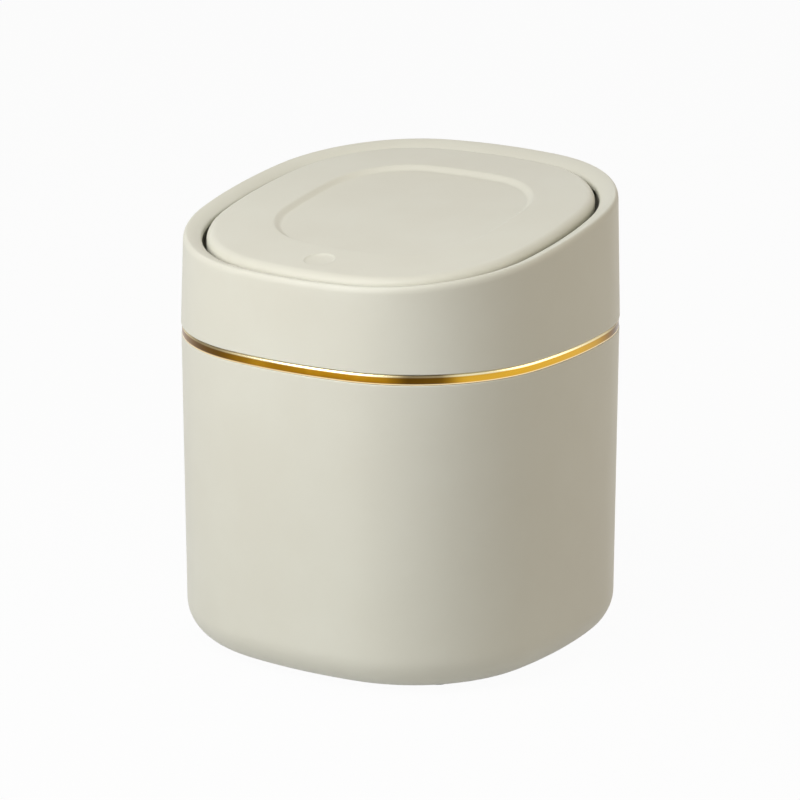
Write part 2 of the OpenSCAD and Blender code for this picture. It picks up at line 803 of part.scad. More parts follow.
module lid_top() {
    color(shell_colour)
        difference() {
            union() {
                lid_shell();
                for (p = lid_screw_places)
                    in_lid_frame()
                        translate([p.x, p.y, -plate_drop * cos(rim_tilt)])
                            cylinder(r = lid_post_r, h = (plate_drop - lid_wall) * cos(rim_tilt) + eps);
            }
            in_lid_frame() {
                translate([0, -dimple_front, dimple_ball_r() - dimple_depth])
                    sphere(r = dimple_ball_r());
                for (p = lid_screw_places)
                    translate([p.x, p.y, -plate_drop * cos(rim_tilt) - eps])
                        cylinder(r = screw_r + screw_fit, h = lid_screw_depth);
            }
        }
}

plate_low = plate_drop + plate_t;
window_front = 5;
window_back = 7.5;
window_in = pin_in - pin_head_t - slide_fit;
notch_half = 3.5;
barrel_web = 0.15;
module lid_plate() {
    color(inner_colour)
        difference() {
            union() {
                difference() {
                    capped_loft([
                        lid_ring(lid_inset + lid_wall + slide_fit, plate_low),
                        lid_ring(lid_inset + lid_wall + slide_fit, plate_drop)]);
                    in_lid_frame()
                        for (side = [0, 1])
                            mirror([side, 0, 0]) {
                                translate([window_in, hinge_back - window_front,
                                           -plate_low - cut_over])
                                    cube([barrel_in - barrel_web - window_in,
                                          window_front + window_back, plate_t + 2 * cut_over]);
                                translate([barrel_out + eps, hinge_back - notch_half,
                                           -plate_low - cut_over])
                                    cube([half_w, 2 * notch_half, plate_t + 2 * cut_over]);
                            }
                }
                for (side = [-1, 1])
                    along_x(side > 0 ? barrel_in : -barrel_out)
                        cylinder(r = hinge_boss_r, h = barrel_l);
            }
            for (side = [-1, 1])
                along_x((side > 0 ? barrel_in : -barrel_out) - cut_over)
                    cylinder(r = pin_r + pin_fit, h = barrel_l + 2 * cut_over);
            in_lid_frame()
                for (p = concat(lid_screw_places, striker_screw_places))
                    translate([p.x, p.y, -plate_low - cut_over])
                        cylinder(r = screw_r + seat_fit, h = plate_t + 2 * cut_over);
        }
}

module lid_screws() {
    color(steel_colour)
        in_lid_frame()
            for (p = lid_screw_places)
                translate([p.x, p.y, -plate_low * cos(rim_tilt)])
                    screw(plate_t + lid_screw_depth - slide_fit);
}

striker_half = 9;
striker_d = 4;
striker_t = 1.6;
striker_len = 6;
striker_screw_x = 6.6;
striker_screw_places = [for (side = [-1, 1]) [side * striker_screw_x, -latch_front]];
module striker() {
    base_z = -plate_low * cos(rim_tilt) - striker_t;
    stem_h = grip_drop + base_z + striker_t / 2;
    color(acetal_colour)
        difference() {
            union() {
                in_lid_frame()
                    translate([-striker_half, -latch_front - striker_d, base_z])
                        cube([2 * striker_half, 2 * striker_d, striker_t]);
                in_latch_frame() {
                    translate([-stem_half, -striker_len / 2, 0])
                        cube([2 * stem_half, striker_len, stem_h]);
                    translate([0, striker_len / 2, 0])
                        rotate([90, 0, 0])
                            cylinder(r = striker_r, h = striker_len);
                }
            }
            in_lid_frame()
                for (p = striker_screw_places)
                    translate([p.x, p.y, base_z - cut_over])
                        cylinder(r = screw_r + seat_fit, h = striker_t + 2 * cut_over);
        }
}

module striker_screws() {
    color(steel_colour)
        in_lid_frame()
            for (p = striker_screw_places)
                translate([p.x, p.y, -plate_low * cos(rim_tilt) - striker_t])
                    screw(striker_t + plate_t - slide_fit);
}

bucket();
foot_front_left();
foot_front_right();
foot_back_left();
foot_back_right();
trim_ring();
collar();
throat();
throat_screws();
stop_pads();
latch_housing();
latch_screws();
latch_spring();
latch_follower();
latch_plunger();
latch_jaws();
hinge_pin_left();
hinge_pin_right();
hinge_clips();
opener_left();
opener_right();
lid_top();
lid_plate();
lid_screws();
striker();
striker_screws();
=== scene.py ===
import json
import math

import bpy
from mathutils import Matrix, Vector


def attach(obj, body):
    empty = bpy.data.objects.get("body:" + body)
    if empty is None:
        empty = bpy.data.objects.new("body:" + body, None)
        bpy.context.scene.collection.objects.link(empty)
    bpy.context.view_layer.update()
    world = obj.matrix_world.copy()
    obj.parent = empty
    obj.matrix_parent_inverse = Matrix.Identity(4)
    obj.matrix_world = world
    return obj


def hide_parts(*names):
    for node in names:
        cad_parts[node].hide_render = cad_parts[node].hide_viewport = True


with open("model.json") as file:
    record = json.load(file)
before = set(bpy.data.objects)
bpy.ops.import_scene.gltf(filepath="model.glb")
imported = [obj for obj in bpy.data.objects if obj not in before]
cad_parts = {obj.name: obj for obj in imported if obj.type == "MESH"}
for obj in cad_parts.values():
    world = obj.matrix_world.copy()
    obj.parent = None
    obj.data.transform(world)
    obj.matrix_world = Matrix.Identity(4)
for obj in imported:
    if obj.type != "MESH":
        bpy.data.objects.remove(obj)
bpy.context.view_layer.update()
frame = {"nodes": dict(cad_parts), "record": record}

MM = 0.001
TILT = math.radians(8)
SLOPE = math.tan(TILT)
HALF = 75 * MM
CORNER = 58 * MM
RIM_Z = 159 * MM
LID_Z = 158.9 * MM
SMOOTH_ANGLE = math.radians(32)
MERGE = 0.002 * MM


# Modelling by hand: sections are drawn as edges, then spun round the body's plan

class Plan:
    """Four bowed sides and four round corners, seen from above."""

    def __init__(self, half, bow, corner, back=0.0):
        self.half, self.corner, self.back = half, corner, back
        self.reach = bow - half
        self.turn = math.acos(self.reach / (bow - corner) / math.sqrt(2)) - math.pi / 4
        self.centre = (bow - corner) * math.cos(self.turn) - self.reach

    def arcs(self, side, corner, front):
        """Centre, angle and steps of each arc, clockwise from the middle of the right side."""
        middle, reach, turn = self.centre, self.reach, self.turn
        round_corner = math.pi / 2 - 2 * turn
        yield (-reach, 0), turn, side // 2
        yield (middle, -middle), round_corner, corner
        yield (0, reach), 2 * turn, front
        yield (-middle, -middle), round_corner, corner
        yield (reach, 0), 2 * turn, side
        yield (-middle, middle), round_corner, corner
        yield (0, -reach), 2 * turn, side
        yield (middle, middle), round_corner, corner
        yield (-reach, 0), turn, side // 2


BODY = Plan(HALF, 170 * MM, CORNER)
FIELD = Plan(43.3 * MM, 170 * MM, 30.5 * MM, 1.9 * MM)


def edit(kind="VERT"):
    """Enters edit mode, ready to choose vertices, edges or faces."""
    bpy.ops.object.mode_set(mode="EDIT")
    bpy.ops.mesh.select_mode(type=kind)


def leave_edit():
    bpy.ops.object.mode_set(mode="OBJECT")


def use_only(piece):
    bpy.ops.object.select_all(action="DESELECT")
    piece.select_set(True)
    bpy.context.view_layer.objects.active = piece


def draw_section(name, points, closed=False):
    """Draws edges through (x, z) points in the plane y = 0, and stays in edit mode."""
    bpy.ops.object.select_all(action="DESELECT")
    bpy.ops.mesh.primitive_plane_add(size=MM)
    piece = bpy.context.object
    piece.name = name
    edit()
    bpy.ops.mesh.merge(type="CENTER")
    path = [Vector((x, 0, z)) for x, z in points]
    if closed:
        path.append(path[0])
    bpy.ops.transform.translate(value=path[0])
    for here, there in zip(path, path[1:]):
        bpy.ops.mesh.extrude_region_move(TRANSFORM_OT_translate={"value": there - here})
    return piece


def tidy_mesh():
    """Joins doubled vertices and turns all faces outward, in edit mode."""
    bpy.ops.mesh.select_all(action="SELECT")
    bpy.ops.mesh.remove_doubles(threshold=MERGE)
    bpy.ops.mesh.dissolve_degenerate(threshold=MERGE)
    bpy.ops.mesh.normals_make_consistent(inside=False)


def spin_section(name, plan, section, closed=False, side=16, corner=26, front=16):
    """Sweeps a section of (inset, z) points round a plan, and leaves the piece in object mode."""
    points = [(plan.half - inset, z) for inset, z in section]
    piece = draw_section(name, points, closed)
    bpy.ops.mesh.select_all(action="SELECT")
    bpy.ops.transform.translate(value=(0, plan.back, 0))
    for (x, y), angle, steps in plan.arcs(side, corner, front):
        bpy.ops.mesh.spin(steps=steps, angle=angle, center=(x, y + plan.back, 0), axis=(0, 0, 1))
    tidy_mesh()
    leave_edit()
    return piece


def select_where(piece, test, open_only=False):
    """Enters edit mode with the vertices selected whose place passes the test."""
    use_only(piece)
    edit()
    bpy.ops.mesh.select_all(action="DESELECT")
    if open_only:
        bpy.ops.mesh.select_non_manifold(extend=False)
    leave_edit()
    mesh = piece.data
    for vertex in mesh.vertices:
        vertex.select = (vertex.select or not open_only) and test(vertex.co)
    for edge in mesh.edges:
        edge.select = all(mesh.vertices[i].select for i in edge.vertices)
    for face in mesh.polygons:
        face.select = False
    edit()


def cap(piece, test):
    """Closes the open loop whose vertices pass the test with one face."""
    select_where(piece, test, open_only=True)
    bpy.ops.mesh.edge_face_add()
    tidy_mesh()
    leave_edit()


def lean(piece, above=0.0):
    """Lifts what lies above a height along the rim's slope."""
    for vertex in piece.data.vertices:
        if vertex.co.z > above:
            vertex.co.z += SLOPE * vertex.co.y


def join(pieces, name):
    use_only(pieces[0])
    for piece in pieces[1:]:
        piece.select_set(True)
    bpy.ops.object.join()
    joined = bpy.context.object
    joined.name = name
    return joined


def place(piece, matrix):
    """Puts a piece where the matrix says, in its mesh."""
    piece.data.transform(matrix)
    piece.data.update()


def cut(piece, cutter, operation="DIFFERENCE"):
    use_only(piece)
    modifier = piece.modifiers.new("cut", "BOOLEAN")
    modifier.operation = operation
    modifier.solver = "EXACT"
    modifier.object = cutter
    bpy.ops.object.modifier_apply(modifier="cut")
    bpy.data.objects.remove(cutter)


def rod(radius, length, segments=48, bevel=0.0):
    """A round bar standing on z = 0, with softened ends."""
    bpy.ops.object.select_all(action="DESELECT")
    bpy.ops.mesh.primitive_cylinder_add(vertices=segments, radius=radius, depth=length)
    bar = bpy.context.object
    place(bar, Matrix.Translation((0, 0, length / 2)))
    if bevel:
        edit("FACE")
        bpy.ops.mesh.select_all(action="DESELECT")
        leave_edit()
        for face in bar.data.polygons:
            face.select = abs(face.normal.z) > 0.9
        edit("FACE")
        bpy.ops.mesh.bevel(offset=bevel, segments=2, affect="EDGES")
        leave_edit()
    return bar


def block(low, high, bevel=0.0, segments=2):
    """A bar between two corners, with softened edges."""
    bpy.ops.object.select_all(action="DESELECT")
    bpy.ops.mesh.primitive_cube_add(size=1)
    bar = bpy.context.object
    size = [h - l for l, h in zip(low, high)]
    middle = [(h + l) / 2 for l, h in zip(low, high)]
    place(bar, Matrix.Translation(middle) @ Matrix.Diagonal(size + [1]))
    if bevel:
        edit()
        bpy.ops.mesh.select_all(action="SELECT")
        bpy.ops.mesh.bevel(offset=bevel, segments=segments, affect="EDGES")
        leave_edit()
    return bar


def smooth(piece, angle=SMOOTH_ANGLE):
    use_only(piece)
    bpy.ops.object.shade_smooth_by_angle(angle=angle)


def quarter_round(steps):
    """Sine and cosine shares of a quarter circle, from its start to its end."""
    return [(math.sin(t), math.cos(t)) for t in (math.pi / 2 * i / steps for i in range(steps + 1))]


def bend_between(start, corner, end, steps):
    """Points of a soft bend that leaves start and meets end in the directions of corner."""
    shares = [i / steps for i in range(steps + 1)]
    return [tuple((1 - t) ** 2 * a + 2 * t * (1 - t) * b + t * t * c
                  for a, b, c in zip(start, corner, end)) for t in shares]


# Frames of the leaning lid, the latch and the hinge pins

LID_FRAME = Matrix.Translation((0, 0, LID_Z)) @ Matrix.Rotation(TILT, 4, "X")
HINGE = Vector((0, 21.9973, 155.428)) * MM
GRIP = Vector((0, -48.4776, 140.979)) * MM
LATCH_TILT = math.radians(11.5863)
LATCH_FRAME = Matrix.Translation(GRIP) @ Matrix.Rotation(LATCH_TILT, 4, "X")


# Sizes that several pieces share: collar, screw posts and seats, lid, hinge, latch

WELL, WELL_DROP, CREST = 8 * MM, 2.6 * MM, 2.5 * MM
CREST_SLOPE = 0.35
POST_INSET = 4.8 * MM
POST_CORNER = BODY.centre + (CORNER - POST_INSET) * math.cos(math.pi / 4)
POST_MIDDLE = HALF - POST_INSET
POSTS = [(x * POST_CORNER, y * POST_CORNER) for x in (-1, 1) for y in (-1, 1)]
POSTS += [(0, -POST_MIDDLE), (0, POST_MIDDLE)]
FLANGE_DROP, FLANGE = 20 * MM, 2.4 * MM
SEAT_RISE, SEAT_FALL = 0.6 * MM, 3 * MM
CHUTE, CHUTE_WALL = 8.3 * MM, 1.2 * MM
LID_INSET, LID_WALL, LID_EDGE = 9.6 * MM, 1.9 * MM, 6.5 * MM
PLATE_DROP, PLATE = 4 * MM, 2 * MM
LID_SCREWS = [(side * x * MM, y * MM) for x, y in ((54, -10), (35, -50), (35, 54))
              for side in (-1, 1)]
STRIKER_SCREWS = [(side * 6.6 * MM, -50.5 * MM) for side in (-1, 1)]
PIN_BORE, BOSS = 1.55 * MM, 3.1 * MM
HINGE_X, BOSS_OUT = 48.3 * MM, 52.3 * MM
OPENER_IN, OPENER_WIRE, OPENER_PITCH = 52.6 * MM, 0.7 * MM, 1.15 * MM
OPENER_TURNS = 2 + (90 - math.degrees(TILT)) / 360
BARREL_GAP, BARREL = 0.3 * MM, 3 * MM
BARREL_IN = OPENER_IN + OPENER_WIRE + OPENER_PITCH * OPENER_TURNS + BARREL_GAP
BARREL_OUT = BARREL_IN + BARREL
HINGE_BACK = 21.3 * MM
SCREW_HOLE = 1.3 * MM
EAR_SCREWS = (-10.5 * MM, 10.5 * MM)
TONGUE = 1.6 * MM
TURN_EASE = 0.25 * MM


def on_pin(x):
    return Matrix.Translation((x, HINGE.y, HINGE.z)) @ Matrix.Rotation(math.pi / 2, 4, "Y")


# Bucket: floor, round bottom edge, wall, shoulder and neck

def make_bucket():
    low, shoulder = 0.8 * MM, 115 * MM
    edge, wall = 13.5 * MM, 2.6 * MM
    draft = 0.9 * MM * (shoulder - low - edge) / (shoulder - low)
    neck, neck_wall, neck_top = 3 * MM, 1.8 * MM, 121 * MM
    chamfer, edge_break, ease = 0.6 * MM, 0.3 * MM, 0.1 * MM
    neck_foot, wall_top = shoulder - 2 * MM, shoulder - 5 * MM
    pocket_radius, pocket_depth, pocket_low, foot_at = 5.1 * MM, 1.9 * MM, -0.2 * MM, 44 * MM
    outside = [(CORNER, low)]
    outside += [(draft + edge * (1 - s), low + edge * (1 - c)) for s, c in quarter_round(18)]
    rim = [(ease, shoulder - edge_break), (edge_break, shoulder), (neck, shoulder),
           (neck, neck_top - chamfer), (neck + chamfer, neck_top), (neck + neck_wall, neck_top),
           (neck + neck_wall, neck_foot), (wall, wall_top)]
    inner = edge - wall
    hollow = [(draft + wall + inner * (1 - s), low + wall + inner * (1 - c))
              for s, c in reversed(quarter_round(12))]
    bucket = spin_section("bucket_shell", BODY, outside + rim + hollow + [(CORNER, low + wall)])
    cap(bucket, lambda v: v.z < low + MM)
    cap(bucket, lambda v: v.z > low + MM)
    for x in (-1, 1):
        for y in (-1, 1):
            pocket = rod(pocket_radius, pocket_depth)
            place(pocket, Matrix.Translation((x * foot_at, y * foot_at, pocket_low)))
            cut(bucket, pocket)
    smooth(bucket)
    return bucket


def make_trim_ring():
    """The plated band, its upper edge rolled in."""
    low, high = 115.1 * MM, 118.7 * MM
    face, inner = 0.3 * MM, 2.7 * MM
    bevel, bevel_height, crown, foot = 0.55 * MM, 1.1 * MM, 0.2 * MM, 0.15 * MM
    bow = 0.3
    section = [(face + foot, low), (face, low + foot)]
    section += bend_between((face, high - bevel_height), (face + bevel * bow, high - crown),
                            (face + bevel, high), 4)
    section += [(inner, high), (inner, low)]
    ring = spin_section("trim_band", BODY, section, closed=True)
    smooth(ring)
    return ring


# Collar: wall, crest, inner slope and the lip of the lid's well

def slope_drop(inset):
    """Fall of the rim's inner slope, gentle at the crest and steeper towards the well."""
    share = (inset - CREST) / (WELL - CREST)
    return WELL_DROP * (CREST_SLOPE * share + (1 - CREST_SLOPE) * share * share)


def make_collar():
    low, wall, edge = 118.9 * MM, 2.6 * MM, 0.3 * MM
    draft, roll, roll_height = 1.1 * MM, 1.4 * MM, 2.8 * MM
    lip, well_edge, skin = 1.8 * MM, 1.8 * MM, 1.8 * MM
    bend_in, bend_down, steps = 0.7 * MM, 0.8 * MM, 12
    upper_part, post, post_cover = 140 * MM, 2.45 * MM, 2.6 * MM
    lip_back = WELL - lip
    lip_low = RIM_Z - WELL_DROP - well_edge
    slope_end = WELL - bend_in
    section = [(edge, low), (0, low + edge)]
    section += [(draft + roll * (1 - c), RIM_Z - roll_height * (1 - s))
                for s, c in quarter_round(10)]
    for i in range(1, steps):
        inset = CREST + (slope_end - CREST) * i / steps
        section.append((inset, RIM_Z - slope_drop(inset)))
    section += bend_between((slope_end, RIM_Z - slope_drop(slope_end)), (WELL, RIM_Z - WELL_DROP),
                            (WELL, RIM_Z - WELL_DROP - bend_down), 6)
    section += [(WELL, lip_low + edge), (WELL - edge, lip_low), (lip_back, lip_low),
                (lip_back, RIM_Z - slope_drop(lip_back) - skin),
                (wall + edge, RIM_Z - slope_drop(wall) - skin),
                (wall, RIM_Z - slope_drop(wall) - skin - edge), (wall, low)]
    collar = spin_section("collar_shell", BODY, section, closed=True)
    lean(collar, above=upper_part)
    posts = []
    for x, y in POSTS:
        top = LID_Z + SLOPE * y - post_cover
        posts.append(rod(post, top - seat_top(y)))
        place(posts[-1], Matrix.Translation((x, y, seat_top(y))))
    collar = join([collar] + posts, "collar_shell")
    smooth(collar)
    return collar


def flange_top(y):
    return LID_Z + SLOPE * y - FLANGE_DROP


def seat_top(y):
    return flange_top(y) + SEAT_RISE


def seat_low(y):
    return flange_top(y) - SEAT_FALL


# Lid top: skirt, flat border, dished field and finger dimple

def make_lid_top():
    inset, wall, deep, edge = LID_INSET, LID_WALL, LID_EDGE, 0.3 * MM
    edge_round, fill, flat = 3.4 * MM, 1.7 * MM, 3.8 * MM
    step, depth, cap_in, steps = 3.2 * MM, 1.6 * MM, 1 * MM, 14
    dimple, dimple_radius, dimple_depth = (0, -52.6 * MM, LID_Z), 5.5 * MM, 0.9 * MM
    post, post_height = 2.5 * MM, 2.2 * MM
    top = LID_Z
    skirt = [(inset + wall + fill + edge, top - wall), (inset + wall + fill, top - wall),
             (inset + wall, top - wall - fill), (inset + wall, top - deep),
             (inset + edge, top - deep), (inset, top - deep + edge)]
    skirt += [(inset + edge_round * (1 - c), top - edge_round * (1 - s))
              for s, c in quarter_round(12)]
    skirt += [(inset + flat, top)]
    shape = dict(side=16, corner=26, front=56)
    rim = spin_section("lid_rim", BODY, skirt, **shape)

    ease = [(i / steps, depth * (1 - math.cos(math.pi * i / steps)) / 2)
            for i in range(steps + 1)]
    dish = [(step * t, top - fall) for t, fall in ease]
    upper = spin_section("dish", FIELD, dish + [(FIELD.corner, top - depth)], **shape)
    cap(upper, lambda v: abs(v.z - top + depth) < edge / 3)
    under = [(step * t - cap_in, top - wall - fall) for t, fall in ease[::2]]
    lower = spin_section("dish_under", FIELD, under + [(FIELD.corner, top - wall - depth)], **shape)
    cap(lower, lambda v: abs(v.z - top + wall + depth) < edge / 3)

    lid = join([rim, upper, lower], "lid_cover")
    for height, cuts in ((top, 22), (top - wall, 2)):
        select_where(lid, lambda v: abs(v.z - height) < edge / 3, open_only=True)
        bpy.ops.mesh.bridge_edge_loops(number_cuts=cuts, interpolation="LINEAR")
        leave_edit()
    use_only(lid)
    edit()
    tidy_mesh()
    leave_edit()
    press_dimple(lid, Vector(dimple), dimple_radius, dimple_depth)
    lean(lid)
    posts = []
    for x, y in LID_SCREWS:
        posts.append(rod(post, post_height))
        place(posts[-1], LID_FRAME @ Matrix.Translation((x, y, -PLATE_DROP * math.cos(TILT))))
    lid = join([lid] + posts, "lid_cover")
    smooth(lid)
    return lid


def press_dimple(lid, middle, radius, depth):
    """Presses the fingertip hollow into the upper face, deepest at its middle."""
    margin = 1.3
    deepest = min((v.co.copy() for v in lid.data.vertices), key=lambda spot: (spot - middle).length)
    select_where(lid, lambda v: (v - deepest).length < radius * margin)
    bpy.ops.mesh.subdivide(number_cuts=2)
    leave_edit()
    select_where(lid, lambda v: (v - deepest).length < MERGE)
    bpy.ops.transform.translate(
        value=(0, 0, -depth), use_proportional_edit=True, use_proportional_connected=True,
        proportional_edit_falloff="SPHERE", proportional_size=radius)
    leave_edit()


# Plate under the lid, with its windows, screw holes and hinge barrels

def drill(piece, matrix, radius, length):
    """Bores a hole that starts at the matrix's place and runs along its Z."""
    bore = rod(radius, length)
    place(bore, matrix)
    cut(piece, bore)


def eased(section, radius):
    """A closed outline with its corners rounded off."""
    outline = []
    for i, corner in enumerate(section):
        before, after = Vector(section[i - 1]), Vector(section[(i + 1) % len(section)])
        here = Vector(corner)
        ends = [here + (other - here).normalized() * min(radius, (other - here).length * 0.45)
                for other in (before, after)]
        outline += bend_between(ends[0], here, ends[1], 3)
    return outline


def make_lid_plate():
    gap, soft, over = 0.3 * MM, 0.4 * MM, 1 * MM
    boss_room, spring_room = 1.9 * MM, 0.15 * MM
    window_front, window_back, notch = -5 * MM, 7.5 * MM, 3.5 * MM
    inset = LID_INSET + LID_WALL + gap
    high, low = LID_Z - PLATE_DROP, LID_Z - PLATE_DROP - PLATE
    edge = bend_between((inset + soft, low), (inset, low), (inset, low + soft), 3)
    edge += bend_between((inset, high - soft), (inset, high), (inset + soft, high), 3)
    plate = spin_section("lid_backing", BODY, [(CORNER, low)] + edge + [(CORNER, high)])
    cap(plate, lambda v: v.z < low + soft / 2)
    cap(plate, lambda v: v.z > high - soft / 2)
    lean(plate)
    top, bottom = -PLATE_DROP + over, -PLATE_DROP - PLATE - over
    inside, outside = HINGE_X - boss_room, BARREL_IN - spring_room
    for side in (-1, 1):
        for x0, x1, y0, y1 in ((inside, outside, window_front, window_back),
                               (BARREL_OUT, HALF, -notch, notch)):
            ends = sorted((side * x0, side * x1))
            window = block((ends[0], HINGE_BACK + y0, bottom), (ends[1], HINGE_BACK + y1, top))
            place(window, LID_FRAME)
            cut(plate, window)
    for x, y in LID_SCREWS + STRIKER_SCREWS:
        drill(plate, LID_FRAME @ Matrix.Translation((x, y, bottom)), SCREW_HOLE, top - bottom)
    for x in (BARREL_IN, -BARREL_OUT):
        barrel = rod(BOSS, BARREL_OUT - BARREL_IN, bevel=TURN_EASE)
        place(barrel, on_pin(x))
        cut(plate, barrel, "UNION")
        drill(plate, on_pin(x - over), PIN_BORE, BARREL_OUT - BARREL_IN + 2 * over)
    smooth(plate)
    return plate


# Throat: flange, chute, screw seats, hinge brackets, latch shelf and pad columns

def seat_on_post(x, y):
    radius, soft, through = 2 * MM, 0.2 * MM, 6 * MM
    seat = rod(radius, seat_top(y) - seat_low(y), bevel=soft)
    place(seat, Matrix.Translation((x, y, seat_low(y))))
    drill(seat, Matrix.Translation((x, y, seat_low(y) - MM)), SCREW_HOLE, through)
    return seat


def hinge_bracket(side):
    """A boss on its column, with the web that ties it to the chute."""
    web, drop, overlap, soft = 2.4 * MM, 8 * MM, 0.1 * MM, 0.3 * MM
    chute_mid = CHUTE - CHUTE_WALL / 2
    reach = max(HINGE.y + web - BODY.centre, 0)
    web_out = BODY.centre + math.sqrt((CORNER - chute_mid) ** 2 - reach ** 2)
    foot = flange_top(HINGE.y) - FLANGE
    ends = sorted((side * HINGE_X, side * BOSS_OUT))
    outer = sorted((side * HINGE_X, side * web_out))
    boss = rod(BOSS, BOSS_OUT - HINGE_X, bevel=TURN_EASE)
    place(boss, on_pin(ends[0]))
    column = block((ends[0], HINGE.y - web, HINGE.z - drop - overlap),
                   (ends[1], HINGE.y + web, HINGE.z), soft)
    tie = block((outer[0], HINGE.y - web, foot), (outer[1], HINGE.y + web, HINGE.z - drop), soft)
    cut(boss, column, "UNION")
    drill(boss, on_pin(ends[0] - MM), PIN_BORE, BOSS_OUT - HINGE_X + 2 * MM)
    return [boss, tie]


def latch_shelf():
    """The shelf that carries the latch, open in its middle for the case."""
    window_x, window_y, hole = 7.5 * MM, 6.5 * MM, 1.25 * MM
    top, thick, half, back = -12 * MM, 3 * MM, 15 * MM, 9 * MM
    front = ((GRIP.y + HALF - CHUTE + CHUTE_WALL / 2) / math.cos(LATCH_TILT)
             - (top - thick / 2) * math.tan(LATCH_TILT))
    shelf = block((-half, -front, top - thick), (half, back, top), 0.5 * MM)
    window = block((-window_x, -window_y, top - 2 * thick), (window_x, window_y, 0))
    cut(shelf, window)
    for x in EAR_SCREWS:
        drill(shelf, Matrix.Translation((x, 0, top - 2 * thick)), hole, 3 * thick)
    place(shelf, LATCH_FRAME)
    return shelf


def pad_columns():
    """Two columns with broad feet, which carry the stop pads."""
    press, gap, pad = math.radians(1.5), 0.3 * MM, 2 * MM
    foot_radius, column_radius = 4.5 * MM, 2.4 * MM
    reach = BODY.centre + (CORNER - LID_INSET - LID_WALL / 2) * math.cos(math.pi / 4)
    pad_top = -(LID_EDGE * math.cos(TILT) + (reach + HINGE.y) * math.sin(press) + gap)
    foot = -(FLANGE_DROP + FLANGE / 2) * math.cos(TILT)
    pieces = []
    for x in (-reach, reach):
        spot = LID_FRAME @ Matrix.Translation((x, -reach / math.cos(TILT), foot))
        for radius, height in ((foot_radius, FLANGE / 2 * math.cos(TILT)),
                               (column_radius, pad_top - pad - foot)):
            pieces.append(rod(radius, height, bevel=TURN_EASE))
            place(pieces[-1], spot)
    return pieces


def make_throat():
    inset, opening, chute, soft = 3.2 * MM, 7.8 * MM, 11 * MM, 0.5 * MM
    low = LID_Z - FLANGE_DROP - FLANGE
    foot = low - chute
    section = eased([(inset, low), (inset, LID_Z - FLANGE_DROP), (opening, LID_Z - FLANGE_DROP),
                     (CHUTE, low), (CHUTE, foot), (CHUTE - CHUTE_WALL, foot),
                     (CHUTE - CHUTE_WALL, low)], soft)
    ring = spin_section("throat_ring", BODY, section, closed=True)
    lean(ring)
    pieces = [ring] + [seat_on_post(x, y) for x, y in POSTS]
    pieces += hinge_bracket(-1) + hinge_bracket(1) + [latch_shelf()] + pad_columns()
    throat = join(pieces, "throat_ring")
    smooth(throat)
    return throat


# Wires: the latch's compression spring and the two opening springs

def bent_wire(name, points, radius):
    """Round wire bent along points, with closed ends."""
    curve = bpy.data.curves.new(name, "CURVE")
    curve.dimensions = "3D"
    curve.bevel_depth = radius
    curve.bevel_resolution = 4
    curve.use_fill_caps = True
    spline = curve.splines.new("POLY")
    spline.points.add(len(points) - 1)
    for point, spot in zip(spline.points, points):
        point.co = (*spot, 1)
    wire = bpy.data.objects.new(name, curve)
    bpy.context.collection.objects.link(wire)
    use_only(wire)
    bpy.ops.object.convert(target="MESH")
    wire = bpy.context.object
    edit()
    tidy_mesh()
    leave_edit()
    smooth(wire, math.radians(50))
    return wire


def make_latch_spring():
    wire, radius, curls, per_curl = 0.8 * MM, 2.6 * MM, 5, 40
    low, high = -20.8 * MM, -11 * MM
    count = curls * per_curl
    points = []
    for i in range(count + 1):
        angle = 2 * math.pi * i / per_curl
        spot = Vector((radius * math.cos(angle), radius * math.sin(angle),
                       low + (high - low) * i / count))
        points.append(LATCH_FRAME @ spot)
    return bent_wire("latch_coil", points, wire / 2)


def make_opener(name, side):
    pin_depth, slack = 6.5 * MM, 0.05 * MM
    radius = (pin_depth - PLATE_DROP * math.cos(TILT)) + OPENER_WIRE / 2 + slack
    leg, arm, bend = 11 * MM, 12 * MM, OPENER_WIRE * 0.8
    start = math.pi / 2 + TILT
    count = 120

    def curl(i):
        angle = start + 2 * math.pi * OPENER_TURNS * i / count
        x = OPENER_IN + OPENER_WIRE / 2 + OPENER_PITCH * OPENER_TURNS * i / count
        return Vector((side * x, HINGE.y + radius * math.cos(angle),
                       HINGE.z + radius * math.sin(angle)))

    along = Vector((0, math.cos(TILT), math.sin(TILT)))
    points = [curl(0) + leg * along, curl(0) + bend * along]
    points += [curl(i) for i in range(1, count)]
    points += [curl(count) - Vector((0, 0, bend)), curl(count) - Vector((0, 0, arm))]
    return bent_wire(name, points, OPENER_WIRE / 2)


# Latch: case, slider, clip and the lid's tongue

def make_latch_case():
    half_w, half_d, low, high = 7.2 * MM, 6.2 * MM, -22.5 * MM, -2.5 * MM
    wall, shelf = 1.2 * MM, -12 * MM
    ear_w, ear_d, ear = 13.5 * MM, 4 * MM, 1.8 * MM
    follower_y, follower_hole, through = 4.3 * MM, 0.6 * MM, 4 * MM
    case = block((-half_w, -half_d, low), (half_w, half_d, high), 0.6 * MM, 3)
    ears = block((-ear_w, -ear_d, shelf), (ear_w, ear_d, shelf + ear), 0.5 * MM, 3)
    cut(case, ears, "UNION")
    hollow = block((wall - half_w, wall - half_d, low + wall),
                   (half_w - wall, half_d - wall, high + MM), 0.3 * MM)
    cut(case, hollow)
    drill(case, Matrix.Translation((0, follower_y, low - MM)), follower_hole, through)
    for x in EAR_SCREWS:
        drill(case, Matrix.Translation((x, 0, shelf - MM)), SCREW_HOLE, through)
    place(case, LATCH_FRAME)
    case.name = "latch_case"
    smooth(case)
    return case


